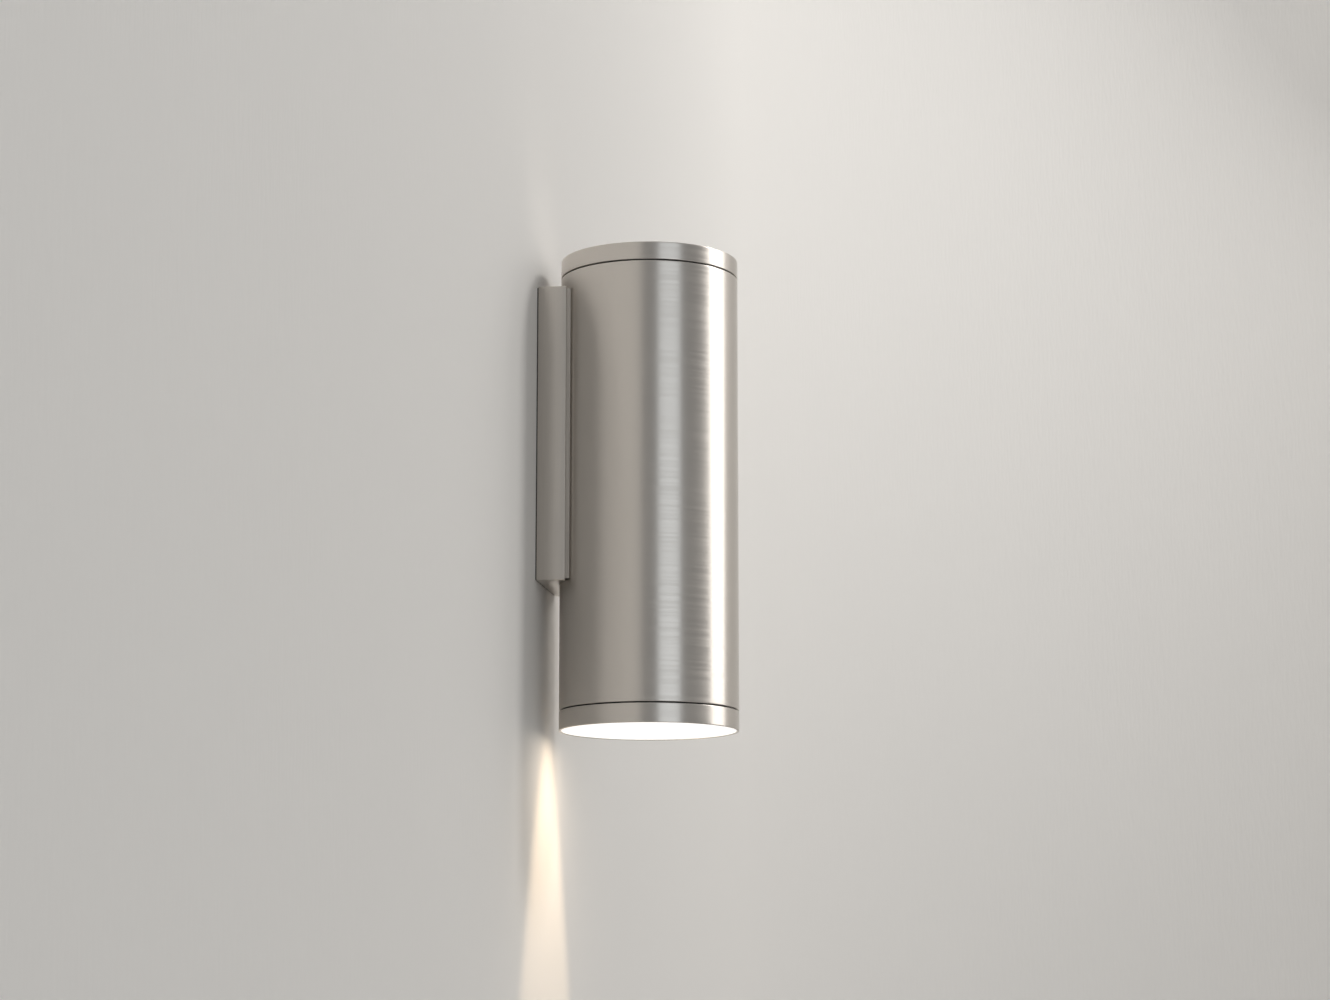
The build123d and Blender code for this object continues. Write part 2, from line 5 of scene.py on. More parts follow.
import bpy
from bpy.props import FloatProperty, FloatVectorProperty, IntProperty, PointerProperty
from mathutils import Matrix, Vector


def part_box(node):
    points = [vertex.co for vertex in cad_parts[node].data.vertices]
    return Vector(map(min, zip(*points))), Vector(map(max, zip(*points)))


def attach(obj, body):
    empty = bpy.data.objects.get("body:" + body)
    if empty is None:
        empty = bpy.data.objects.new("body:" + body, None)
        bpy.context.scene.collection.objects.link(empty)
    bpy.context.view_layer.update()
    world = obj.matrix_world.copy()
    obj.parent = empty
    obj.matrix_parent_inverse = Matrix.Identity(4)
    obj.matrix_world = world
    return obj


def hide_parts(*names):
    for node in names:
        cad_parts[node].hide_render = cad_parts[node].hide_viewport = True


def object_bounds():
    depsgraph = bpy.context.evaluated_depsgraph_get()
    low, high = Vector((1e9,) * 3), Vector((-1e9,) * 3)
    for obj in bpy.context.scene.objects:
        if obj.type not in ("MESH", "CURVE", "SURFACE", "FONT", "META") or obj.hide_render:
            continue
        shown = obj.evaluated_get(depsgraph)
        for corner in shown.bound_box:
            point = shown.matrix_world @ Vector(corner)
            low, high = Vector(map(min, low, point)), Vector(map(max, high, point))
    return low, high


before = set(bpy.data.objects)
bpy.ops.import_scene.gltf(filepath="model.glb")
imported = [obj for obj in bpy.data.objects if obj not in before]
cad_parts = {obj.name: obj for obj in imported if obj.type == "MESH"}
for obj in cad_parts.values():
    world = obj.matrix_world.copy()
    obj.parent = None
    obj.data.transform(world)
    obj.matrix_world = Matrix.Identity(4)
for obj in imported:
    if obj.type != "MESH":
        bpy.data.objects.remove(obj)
cad_low, cad_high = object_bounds()

bl_info = {
    "name": "Tube wall light",
    "version": (1, 0, 0),
    "blender": (4, 5, 0),
    "location": "3D View > Sidebar > Wall light",
    "description": "Models and finishes a round brushed steel wall light round its packed frame",
    "category": "Object",
}

MM = 0.001
SHARP_ANGLE = math.radians(30)   # an edge that turns more than this stays sharp
POLE_RADIUS = 1 * MM             # middle face of a closed turned disc
tube_low, tube_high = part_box("body_tube")
AXIS = Vector(((tube_low.x + tube_high.x) / 2, (tube_low.y + tube_high.y) / 2, 0))
TUBE_RADIUS = (tube_high.x - tube_low.x) / 2


def node_span(node):
    """Lowest and highest height of a node."""
    low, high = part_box(node)
    return low.z, high.z


def node_radius(node):
    """Outer radius of a turned node."""
    low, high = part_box(node)
    return (high.x - low.x) / 2


# ---------------------------------------------------------------- settings
class TurnedSizes(bpy.types.PropertyGroup):
    """Sizes of the turned pieces that the frame's boxes don't give."""

    sides: IntProperty(name="Sides", description="Facets round each turned piece", default=288, min=64)
    tube_wall: FloatProperty(name="Tube wall", description="Wall of the body tube", default=1.5 * MM,
                             unit="LENGTH")
    edge: FloatProperty(name="Edge break", description="Rounding of the machined edges", default=0.15 * MM,
                        unit="LENGTH")
    lens_lip: FloatProperty(name="Lens lip", description="Steel lip left round the lens", default=0.8 * MM,
                            unit="LENGTH")
    bezel_height: FloatProperty(name="Bezel height", description="Visible height of the lower ring",
                                default=6.35 * MM, unit="LENGTH")
    bezel_bore: FloatProperty(name="Bezel bore", description="Radius inside the bezel's spigot",
                              default=26.0 * MM, unit="LENGTH")
    lens_shelf: FloatProperty(name="Lens shelf", description="Height of the shelf that the lens seats on",
                              default=3.6 * MM, unit="LENGTH")
    lens_thickness: FloatProperty(name="Lens thickness", description="Thickness of the opal lens",
                                  default=3.0 * MM, unit="LENGTH")
    lens_fit: FloatProperty(name="Lens fit", description="Room between the lens's rib and the bezel",
                            default=0.1 * MM, unit="LENGTH")
    lens_rib: FloatProperty(name="Lens rib", description="Width of the rib behind the lens",
                            default=0.8 * MM, unit="LENGTH")
    thread_fit: FloatProperty(name="Thread fit", description="Room between the bezel's spigot and the tube",
                              default=0.1 * MM, unit="LENGTH")
    thread_pitch: FloatProperty(name="Thread pitch", description="Pitch of the bezel's thread",
                                default=1.5 * MM, unit="LENGTH")
    thread_depth: FloatProperty(name="Thread depth", description="Depth of the bezel's thread",
                                default=0.35 * MM, unit="LENGTH")
    cap_height: FloatProperty(name="Cap height", description="Visible height of the upper ring",
                              default=5.9 * MM, unit="LENGTH")
    cap_roof: FloatProperty(name="Cap roof", description="Thickness of the closed top", default=2.0 * MM,
                            unit="LENGTH")
    cap_spigot_wall: FloatProperty(name="Cap spigot wall", description="Wall of the cap's spigot",
                                   default=1.8 * MM, unit="LENGTH")
    cap_fit: FloatProperty(name="Cap fit", description="Room between the cap's spigot and the tube",
                           default=0.03 * MM, unit="LENGTH")
    seal_gap: FloatProperty(name="Seal gap", description="Room left above and below each seal",
                            default=0.01 * MM, unit="LENGTH")
    seal_bulge: FloatProperty(name="Seal bulge", description="How far a seal's middle swells out",
                              default=0.02 * MM, unit="LENGTH")
    seal_edge: FloatProperty(name="Seal edge", description="Width of the seals' broken edges",
                             default=0.03 * MM, unit="LENGTH")
    window_width: FloatProperty(name="Window width", description="Width of the tube's wiring window",
                                default=21.0 * MM, unit="LENGTH")
    window_height: FloatProperty(name="Window height", description="Height of the wiring window",
                                 default=34.0 * MM, unit="LENGTH")
    window_drop: FloatProperty(name="Window drop", description="Drop of the window under the terminal block",
                               default=2.0 * MM, unit="LENGTH")
    screw_hole: FloatProperty(name="Screw hole", description="Radius of the saddle screws' holes",
                              default=2.25 * MM, unit="LENGTH")
    screw_head: FloatProperty(name="Screw head", description="Radius of the saddle screws' heads",
                              default=3.5 * MM, unit="LENGTH")
    bracket_edge: FloatProperty(name="Bracket edge", description="Rounding of the bracket's edges",
                                default=0.12 * MM, unit="LENGTH")


class SteelFinish(bpy.types.PropertyGroup):
    """Brushed steel of the visible metal."""

    colour: FloatVectorProperty(name="Steel", description="Base colour of the steel", subtype="COLOR",
                                default=(0.70, 0.66, 0.615), min=0, max=1)
    roughness: FloatProperty(name="Roughness", description="Mean roughness of the brushing", default=0.32,
                             min=0, max=1)
    unevenness: FloatProperty(name="Unevenness", description="How far single brush lines differ in roughness",
                              default=0.035, min=0, max=1)
    spread: FloatProperty(name="Anisotropy", description="How far the brushing draws a highlight out",
                          default=0.72, min=0, max=1)
    brush_depth: FloatProperty(name="Brush depth", description="Strength of the brush lines' relief",
                               default=0.02, min=0, max=1)
    # Painted shade: the cover's steel is this share of the tube's, so its side reads darker, as the shade
    # beside the wall makes it.
    cover_painted_shade: FloatProperty(name="Cover shade", description="Bracket cover's colour against the tube's",
                               default=0.93, min=0, max=1)
    # Painted shade: the saddle's steel is this share of the tube's, darkening it for the shade in the narrow
    # gap between cover and tube.
    saddle_painted_shade: FloatProperty(name="Saddle shade", description="Saddle block's colour against the tube's",
                                default=0.6, min=0, max=1)


class LensFinish(bpy.types.PropertyGroup):
    """Opal lens, lit from behind."""

    colour: FloatVectorProperty(name="Opal", description="Colour of the opal lens", subtype="COLOR",
                                default=(0.85, 0.85, 0.83), min=0, max=1)
    glow: FloatVectorProperty(name="Glow", description="Colour of the light through the lens",
                              subtype="COLOR", default=(1.0, 0.985, 0.95), min=0, max=1)
    strength: FloatProperty(name="Strength", description="Strength of the glow", default=0.85, min=0)


class StageSettings(bpy.types.PropertyGroup):
    """Room round the light, and how it is lit and seen."""

    wall_colour: FloatVectorProperty(name="Wall", description="Colour of the walls", subtype="COLOR",
                                     default=(0.86, 0.842, 0.82), min=0, max=1)
    floor_colour: FloatVectorProperty(name="Floor", description="Colour of the floor", subtype="COLOR",
                                      default=(0.74, 0.73, 0.71), min=0, max=1)
    room_colour: FloatVectorProperty(name="Room", description="Colour of the light from the room",
                                     subtype="COLOR", default=(0.255, 0.255, 0.253), min=0, max=1)
    ceiling_colour: FloatVectorProperty(name="Ceiling", description="Colour of the light from straight above",
                                        subtype="COLOR", default=(0.7, 0.69, 0.67), min=0, max=1)
    warm_white: FloatVectorProperty(name="Warm white", description="Colour of the soft boxes in front",
                                    subtype="COLOR", default=(1.0, 0.98, 0.95), min=0, max=1)
    cool_white: FloatVectorProperty(name="Cool white", description="Colour of the soft box at the side",
                                    subtype="COLOR", default=(0.87, 0.94, 1.0), min=0, max=1)
    lamp_colour: FloatVectorProperty(name="Lamp", description="Colour of the lamp's light on the wall",
                                     subtype="COLOR", default=(1.0, 0.76, 0.5), min=0, max=1)
    beam: FloatProperty(name="Beam", description="Power of the lamp's light on the wall below", default=2.4,
                        min=0, unit="POWER")
    beam_angle: FloatProperty(name="Beam angle", description="Whole angle of the lamp's beam",
                              default=math.radians(37), subtype="ANGLE")
    beam_height: FloatProperty(name="Beam height", description="Height that the beam spreads from",
                               default=9 * MM, unit="LENGTH")
    beam_shift: FloatProperty(name="Beam shift", description="Shift of the beam along the wall",
                              default=7 * MM, unit="LENGTH")
    spill: FloatProperty(name="Spill", description="Glow under the lens, as a share of the beam",
                         default=0.006, min=0, max=1)
    cove_start: FloatProperty(name="Cove start", description="Where the wall begins to turn to the side wall",
                              default=0.6, unit="LENGTH")
    cove_radius: FloatProperty(name="Cove radius", description="Radius of the coved corner", default=0.35,
                               unit="LENGTH")
    focal_length: FloatProperty(name="Focal length", description="Camera focal length on a 36 mm sensor",
                                default=83.58, min=1, subtype="DISTANCE_CAMERA")
    camera_place: FloatVectorProperty(name="Camera", description="Camera place", subtype="TRANSLATION",
                                      default=(-1.0128, -0.1816, -0.2038))
    camera_heading: FloatProperty(name="Heading", description="Camera heading from the X axis to the wall",
                                  default=math.radians(7.911), subtype="ANGLE")
    camera_pitch: FloatProperty(name="Pitch", description="Camera pitch above the horizon",
                                default=math.radians(10.153), subtype="ANGLE")


# ---------------------------------------------------------------- modelling helpers
def deselect():
    """Nothing selected, nothing in edit mode."""
    if bpy.context.object and bpy.context.object.mode != "OBJECT":
        bpy.ops.object.mode_set(mode="OBJECT")
    bpy.ops.object.select_all(action="DESELECT")


def held(profile, hold=0.5 * MM):
    """Profile with a point near each end of its long runs, so that a rounded edge shades only there."""
    points = [profile[0]]
    for start, end in zip(profile, profile[1:]):
        run = Vector(end) - Vector(start)
        if run.length > 4 * hold:
            step = run.normalized() * hold
            points += [tuple(Vector(start) + step), tuple(Vector(end) - step)]
        points.append(end)
    return points


def turned(name, profile, sides, cap_first=False, cap_last=False):
    """Turned piece: a circle extruded and scaled along (radius, height) points about the tube's axis."""
    deselect()
    profile = held(profile)
    radius, height = profile[0]
    bpy.ops.mesh.primitive_circle_add(vertices=sides, radius=radius, location=(AXIS.x, AXIS.y, height),
                                      fill_type="NGON" if cap_first else "NOTHING")
    piece = bpy.context.object
    piece.name = name
    bpy.ops.object.transform_apply(location=True, rotation=False, scale=False)
    bpy.ops.object.mode_set(mode="EDIT")
    bpy.ops.mesh.select_mode(type="EDGE")
    bpy.ops.mesh.select_all(action="SELECT")
    for next_radius, next_height in profile[1:]:
        bpy.ops.mesh.extrude_edges_move(TRANSFORM_OT_translate={"value": (0, 0, next_height - height)})
        grow = next_radius / radius
        bpy.ops.transform.resize(value=(grow, grow, 1), center_override=(AXIS.x, AXIS.y, next_height))
        radius, height = next_radius, next_height
    if cap_last:
        bpy.ops.mesh.edge_face_add()
    bpy.ops.mesh.select_all(action="SELECT")
    bpy.ops.mesh.remove_doubles(threshold=MM / 1000)
    bpy.ops.mesh.normals_make_consistent(inside=False)
    bpy.ops.object.mode_set(mode="OBJECT")
    return piece


def soften(piece, width, segments=3):
    """Rounds the machined edges and smooths the rest."""
    deselect()
    piece.select_set(True)
    bpy.context.view_layer.objects.active = piece
    bevel = piece.modifiers.new("edges", "BEVEL")
    bevel.width = width
    bevel.segments = segments
    bevel.limit_method = "ANGLE"
    bevel.angle_limit = SHARP_ANGLE
    bpy.ops.object.modifier_apply(modifier=bevel.name)
    bpy.ops.object.shade_smooth_by_angle(angle=SHARP_ANGLE)


def cut(piece, cutter):
    """Takes the cutter's shape out of a piece."""
    deselect()
    bpy.context.view_layer.objects.active = piece
    piece.select_set(True)
    difference = piece.modifiers.new("cut", "BOOLEAN")
    difference.operation = "DIFFERENCE"
    difference.object = cutter
    bpy.ops.object.modifier_apply(modifier=difference.name)
    bpy.data.objects.remove(cutter)
    bpy.ops.object.shade_smooth_by_angle(angle=SHARP_ANGLE)


def eased(name, node, width):
    """Copy of a node with its flat faces made whole and its edges rounded."""
    deselect()
    piece = bpy.data.objects.new(name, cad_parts[node].data.copy())
    bpy.context.scene.collection.objects.link(piece)
    piece.select_set(True)
    bpy.context.view_layer.objects.active = piece
    bpy.ops.object.mode_set(mode="EDIT")
    bpy.ops.mesh.select_all(action="SELECT")
    bpy.ops.mesh.remove_doubles(threshold=MM / 1000)
    bpy.ops.mesh.dissolve_limited(angle_limit=math.radians(1))
    bpy.ops.mesh.normals_make_consistent(inside=False)
    bpy.ops.object.mode_set(mode="OBJECT")
    soften(piece, width, segments=2)
    return piece


def ring_uv(piece):
    """UV map in metres: u round the axis, v along the surface from bottom to top and inwards."""
    mesh = piece.data
    layer = mesh.uv_layers.new(name="brush")
    for face in mesh.polygons:
        middle = face.center - AXIS
        facing = math.atan2(-middle.x, -middle.y)
        for index in face.loop_indices:
            place = mesh.vertices[mesh.loops[index].vertex_index].co - AXIS
            angle = math.atan2(-place.x, -place.y)
            angle += round((facing - angle) / math.tau) * math.tau
            radius = math.hypot(place.x, place.y)
            layer.data[index].uv = (angle * TUBE_RADIUS, place.z - radius)


def finish(piece, body, slot, material, *nodes):
    """Gives a piece its material and body, and lets it stand for its nodes; the slot is not used."""
    piece.data.materials.clear()
    piece.data.materials.append(material)
    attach(piece, body)
    if nodes:
        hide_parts(*nodes)
    return piece


# ---------------------------------------------------------------- material helpers
def material(name):
    """New node material and its shader."""
    made = bpy.data.materials.new(name)
    made.use_nodes = True
    return made, made.node_tree.nodes["Principled BSDF"]


def put(tree, kind, **values):
    """New node; each value is a property of the node or a constant for its input of that name."""
    node = tree.nodes.new(kind)
    for key, value in values.items():
        if key in node.bl_rna.properties:
            setattr(node, key, value)
        else:
            node.inputs[key.replace("_", " ")].default_value = value
    return node


def stretched_noise(tree, source, scale, detail=4.0, roughness=0.55):
    """Noise on a coordinate scaled by a vector, in cycles per metre."""
    mapping = put(tree, "ShaderNodeMapping", vector_type="POINT")
    mapping.inputs["Scale"].default_value = scale
    noise = put(tree, "ShaderNodeTexNoise", Scale=1.0, Detail=detail, Roughness=roughness)
    tree.links.new(source, mapping.inputs["Vector"])
    tree.links.new(mapping.outputs["Vector"], noise.inputs["Vector"])
    return noise.outputs["Fac"]


def spread_between(tree, source, low, high, start=0.3, end=0.7):
    """Maps a noise value from its useful range to a low and a high value."""
    node = put(tree, "ShaderNodeMapRange", clamp=True)
    for key, value in (("From Min", start), ("From Max", end), ("To Min", low), ("To Max", high)):
        node.inputs[key].default_value = value
    tree.links.new(source, node.inputs["Value"])
    return node.outputs["Result"]


def tint(tree, source, dark, light):
    """Colour between two tints by a value."""
    mix = put(tree, "ShaderNodeMix", data_type="RGBA")
    mix.inputs[6].default_value = (*dark, 1)
    mix.inputs[7].default_value = (*light, 1)
    tree.links.new(source, mix.inputs[0])
    return mix.outputs[2]


def relief(tree, source, strength, distance):
    """Bump from a height."""
    bump = put(tree, "ShaderNodeBump", Strength=strength, Distance=distance)
    tree.links.new(source, bump.inputs["Height"])
    return bump.outputs["Normal"]


def shaded(colour, factor):
    """Colour scaled by a factor, kept under white."""
    return tuple(min(1.0, part * factor) for part in colour)


def brushed_round(name, look):
    """Steel brushed round the axis: fine lines along u, and highlights drawn out along v."""
    made, shader = material(name)
    tree = made.node_tree
    uv = put(tree, "ShaderNodeUVMap", uv_map="brush").outputs["UV"]
    fine = stretched_noise(tree, uv, (90, 5200, 1), detail=2)
    lines = stretched_noise(tree, uv, (15, 2300, 1), detail=2, roughness=0.6)
    both = put(tree, "ShaderNodeMath", operation="MULTIPLY_ADD")
    both.inputs[1].default_value = 0.5
    tree.links.new(fine, both.inputs[0])
    tree.links.new(lines, both.inputs[2])
    tree.links.new(tint(tree, lines, shaded(look.colour, 0.985), shaded(look.colour, 1.015)),
                   shader.inputs["Base Color"])
    smoothest, roughest = look.roughness - look.unevenness, look.roughness + look.unevenness
    tree.links.new(spread_between(tree, lines, smoothest, roughest, 0.4, 0.6), shader.inputs["Roughness"])
    tree.links.new(relief(tree, both.outputs[0], look.brush_depth, 0.05 * MM), shader.inputs["Normal"])
    tangent = put(tree, "ShaderNodeTangent", direction_type="UV_MAP", uv_map="brush")
    tree.links.new(tangent.outputs["Tangent"], shader.inputs["Tangent"])
    shader.inputs["Metallic"].default_value = 1
    shader.inputs["Anisotropic"].default_value = look.spread
    shader.inputs["Anisotropic Rotation"].default_value = 0.25   # a quarter turn, across the lines
    return made


def grained(name, colour, metallic, roughness, scale, depth, contrast=0.06):
    """Surface with a grain stretched along one axis, on object coordinates."""
    made, shader = material(name)
    tree = made.node_tree
    place = put(tree, "ShaderNodeTexCoord").outputs["Object"]
    grain = stretched_noise(tree, place, scale, detail=5)
    cloud = stretched_noise(tree, place, (90, 90, 90), detail=2)
    tree.links.new(tint(tree, spread_between(tree, grain, 0, 1), shaded(colour, 1 - contrast),
                        shaded(colour, 1 + contrast)), shader.inputs["Base Color"])
    tree.links.new(spread_between(tree, cloud, roughness * 0.9, min(1, roughness * 1.12)),
                   shader.inputs["Roughness"])
    tree.links.new(relief(tree, grain, depth, 0.04 * MM), shader.inputs["Normal"])
    shader.inputs["Metallic"].default_value = metallic
    return made


def opal(name, look, radius):
    """Lit opal: an even glow that falls off a little at the rim."""
    made, shader = material(name)
    tree = made.node_tree
    place = put(tree, "ShaderNodeTexCoord").outputs["Object"]
    centred = put(tree, "ShaderNodeMapping", vector_type="POINT")
    centred.inputs["Location"].default_value = (-AXIS.x, -AXIS.y, 0)
    tree.links.new(place, centred.inputs["Vector"])
    flat = put(tree, "ShaderNodeVectorMath", operation="MULTIPLY")
    flat.inputs[1].default_value = (1, 1, 0)
    tree.links.new(centred.outputs["Vector"], flat.inputs[0])
    reach = put(tree, "ShaderNodeVectorMath", operation="LENGTH")
    tree.links.new(flat.outputs["Vector"], reach.inputs[0])
    rim_start, rim_strength = radius * 0.8, look.strength * 0.9
    glow = spread_between(tree, reach.outputs["Value"], look.strength, rim_strength, rim_start, radius)
    tree.links.new(glow, shader.inputs["Emission Strength"])
    shader.inputs["Emission Color"].default_value = (*look.glow, 1)
    cloud = stretched_noise(tree, place, (300, 300, 300), detail=3)
    tree.links.new(tint(tree, cloud, shaded(look.colour, 0.96), look.colour), shader.inputs["Base Color"])
    tree.links.new(spread_between(tree, cloud, 0.32, 0.42), shader.inputs["Roughness"])
    tree.links.new(relief(tree, cloud, 0.1, 0.02 * MM), shader.inputs["Normal"])
    return made


# ---------------------------------------------------------------- pieces
class WALLLIGHT_OT_tube(bpy.types.Operator):
    """Body tube with its wiring window and screw holes"""

    bl_idname = "walllight.tube"
    bl_label = "Body tube"

    def execute(self, context):
        sizes, look = context.scene.walllight_turned, context.scene.walllight_steel
        low, high = node_span("body_tube")
        bore = TUBE_RADIUS - sizes.tube_wall
        profile = [(TUBE_RADIUS, low), (TUBE_RADIUS, high), (bore, high), (bore, low), (TUBE_RADIUS, low)]
        tube = turned("tube_shell", profile, sizes.sides)
        soften(tube, sizes.edge)
        block_low, block_high = node_span("terminal_block")
        window_middle = (block_low + block_high) / 2 - sizes.window_drop
        back = AXIS.y + TUBE_RADIUS
        deselect()
        bpy.ops.mesh.primitive_cube_add(size=1, location=(AXIS.x, back, window_middle),
                                        scale=(sizes.window_width, TUBE_RADIUS / 2, sizes.window_height))
        cut(tube, bpy.context.object)
        screws_high = node_span("saddle_screws")[1] - sizes.screw_head
        screws_low = node_span("saddle_screws")[0] + sizes.screw_head
        for height in (screws_low, screws_high):
            deselect()
            bpy.ops.mesh.primitive_cylinder_add(vertices=32, radius=sizes.screw_hole, depth=TUBE_RADIUS / 2,
                                                location=(AXIS.x, back, height),
                                                rotation=(math.radians(90), 0, 0))
            cut(tube, bpy.context.object)
        ring_uv(tube)
        finish(tube, "luminaire", "brushed_steel", brushed_round("tube_steel", look), "body_tube")
        return {"FINISHED"}


class WALLLIGHT_OT_cap(bpy.types.Operator):
    """Closed cap and its seal at the top of the tube"""

    bl_idname = "walllight.cap"
    bl_label = "Top cap"

    def execute(self, context):
        sizes, look = context.scene.walllight_turned, context.scene.walllight_steel
        low, high = node_span("top_cap")
        rim = high - sizes.cap_height
        spigot = TUBE_RADIUS - sizes.tube_wall - sizes.cap_fit
        hollow = spigot - sizes.cap_spigot_wall
        roof = high - sizes.cap_roof
        profile = [(POLE_RADIUS, roof), (hollow, roof), (hollow, low), (spigot, low), (spigot, rim),
                   (TUBE_RADIUS, rim), (TUBE_RADIUS, high), (POLE_RADIUS, high)]
        cap = turned("cap_shell", profile, sizes.sides, cap_first=True, cap_last=True)
        soften(cap, sizes.edge)
        ring_uv(cap)
        finish(cap, "luminaire", "brushed_steel", brushed_round("cap_steel", look), "top_cap")
        return {"FINISHED"}


class WALLLIGHT_OT_bezel(bpy.types.Operator):
    """Bezel ring with its threaded spigot"""

    bl_idname = "walllight.bezel"
    bl_label = "Bezel"

    def execute(self, context):
        sizes, look = context.scene.walllight_turned, context.scene.walllight_steel
        low, high = node_span("bezel")
        spigot = TUBE_RADIUS - sizes.tube_wall - sizes.thread_fit
        pocket = TUBE_RADIUS - sizes.lens_lip
        shelf = low + sizes.lens_shelf
        top = low + sizes.bezel_height
        profile = [(TUBE_RADIUS, low), (TUBE_RADIUS, top), (spigot, top)]
        thread_low, root = top + sizes.thread_pitch, spigot - sizes.thread_depth
        while thread_low + sizes.thread_pitch < high:
            profile += [(spigot, thread_low), (root, thread_low + sizes.thread_pitch / 3),
                        (spigot, thread_low + sizes.thread_pitch * 2 / 3)]
            thread_low += sizes.thread_pitch
        profile += [(spigot, high), (sizes.bezel_bore, high), (sizes.bezel_bore, shelf), (pocket, shelf),
                    (pocket, low), (TUBE_RADIUS, low)]
        bezel = turned("bezel_ring", profile, sizes.sides)
        soften(bezel, sizes.edge * 0.7)
        ring_uv(bezel)
        finish(bezel, "bezel_ring", "brushed_steel", brushed_round("bezel_steel", look), "bezel")
        return {"FINISHED"}


class WALLLIGHT_OT_lens(bpy.types.Operator):
    """Opal lens, nearly flush in the bezel"""

    bl_idname = "walllight.lens"
    bl_label = "Lens"

    def execute(self, context):
        sizes, look = context.scene.walllight_turned, context.scene.walllight_lens
        low, high = node_span("lens")
        radius = node_radius("lens")
        back = low + sizes.lens_thickness
        rib = sizes.bezel_bore - sizes.lens_fit
        inner = rib - sizes.lens_rib
        profile = [(POLE_RADIUS, low), (radius, low), (radius, back), (rib, back), (rib, high),
                   (inner, high), (inner, back), (POLE_RADIUS, back)]
        lens = turned("lens_disc", profile, sizes.sides, cap_first=True, cap_last=True)
        soften(lens, sizes.edge)
        finish(lens, "bezel_ring", "opal_lens", opal("opal_lit", look, radius), "lens")
        return {"FINISHED"}


class WALLLIGHT_OT_seals(bpy.types.Operator):
    """Thin black seals that show as the two dark lines"""

    bl_idname = "walllight.seals"
    bl_label = "Seals"

    def execute(self, context):
        sizes = context.scene.walllight_turned
        rubber = grained("seal_rubber", (0.012, 0.012, 0.013), 0, 0.6, (900, 900, 900), 0.2, 0.2)
        bore = TUBE_RADIUS - sizes.tube_wall
        for node, body in (("cap_seal", "luminaire"), ("bezel_seal", "bezel_lift")):
            low, high = node_span(node)
            low, high = low + sizes.seal_gap, high - sizes.seal_gap
            outer = node_radius(node)
            middle = (low + high) / 2
            profile = [(bore, low), (outer, low), (outer + sizes.seal_bulge, middle), (outer, high),
                       (bore, high), (bore, low)]
            seal = turned(node + "_ring", profile, sizes.sides)
            soften(seal, sizes.seal_edge, segments=1)
            finish(seal, body, "black_rubber", rubber, node)
        return {"FINISHED"}


class WALLLIGHT_OT_bracket(bpy.types.Operator):
    """Bracket cover and the saddle block inside it"""

    bl_idname = "walllight.bracket"
    bl_label = "Bracket"

    def execute(self, context):
        sizes, look = context.scene.walllight_turned, context.scene.walllight_steel
        upright = (1500, 1500, 40)
        # Painted shade: the cover takes a darkened copy of the tube's steel.
        cover_steel_painted_shade = grained("cover_steel_painted_shade", shaded(look.colour, look.cover_painted_shade), 1, look.roughness,
                              upright, 0.1, contrast=0.02)
        # Painted shade: the saddle takes a much darker copy of the tube's steel, for the shade in its gap.
        saddle_steel_painted_shade = grained("saddle_steel_painted_shade", shaded(look.colour, look.saddle_painted_shade), 1, look.roughness,
                               upright, 0.1)
        for node, name, steel in (("bracket_cover", "cover_frame", cover_steel_painted_shade),
                                  ("saddle_block", "saddle_body", saddle_steel_painted_shade)):
            finish(eased(name, node, sizes.bracket_edge), "luminaire", "brushed_steel", steel, node)
        return {"FINISHED"}


class WALLLIGHT_OT_finishes(bpy.types.Operator):
    """Finishes of the pieces that keep their frame shape"""

    bl_idname = "walllight.finishes"
    bl_label = "Frame finishes"

    def execute(self, context):
        soft, even = (200, 200, 200), (700, 700, 700)
        finishes = {
            "wall_plate": grained("zinc_plate", (0.55, 0.56, 0.58), 1, 0.42, soft, 0.15, 0.1),
            "lamp_bracket": grained("zinc_bracket", (0.55, 0.56, 0.58), 1, 0.42, soft, 0.15, 0.1),
            "wall_gasket": grained("gasket_foam", (0.09, 0.085, 0.08), 0, 0.8, even, 0.4, 0.25),
            "locking_screws": grained("screw_steel", (0.42, 0.41, 0.40), 1, 0.3, even, 0.1),
            "plate_earth_screw": grained("earth_brass", (0.75, 0.56, 0.25), 1, 0.3, even, 0.1),
            "holder_body": grained("holder_ceramic", (0.80, 0.78, 0.72), 0, 0.5, even, 0.3),
            "lamp_body": grained("lamp_moulding", (0.80, 0.80, 0.78), 0, 0.45, even, 0.15),
            "lamp_lens": grained("lamp_front", (0.85, 0.85, 0.83), 0, 0.25, even, 0.3),
            "lamp_board": grained("board_mask", (0.78, 0.78, 0.76), 0, 0.4, even, 0.1),
            "terminal_block": grained("block_moulding", (0.72, 0.71, 0.65), 0, 0.5, even, 0.15),
            "live_lead": grained("brown_lead", (0.16, 0.06, 0.025), 0, 0.45, even, 0.1),
            "neutral_lead": grained("blue_lead", (0.02, 0.09, 0.36), 0, 0.45, even, 0.1),
            "earth_lead": grained("green_lead", (0.14, 0.33, 0.03), 0, 0.45, (10, 10, 160), 0.1, 0.6),
        }
        like = {
            "wall_gasket": ("cable_grommet", "lens_gasket"),
            "locking_screws": ("saddle_screws", "saddle_nuts", "holder_screws", "clamp_screws",
                               "block_screws"),
            "plate_earth_screw": ("plate_earth_washer", "holder_contacts", "lamp_pins", "terminal_clamps",
                                  "earth_tag", "earth_tag_screw"),
            "lamp_bracket": ("terminal_bracket",),
            "lamp_body": ("lamp_base",),
            "holder_body": ("holder_face",),
        }
        for first, others in like.items():
            for node in others:
                finishes[node] = finishes[first]
        for node, made in finishes.items():
            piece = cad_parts[node]
            piece.data.materials.clear()
            piece.data.materials.append(made)
        return {"FINISHED"}


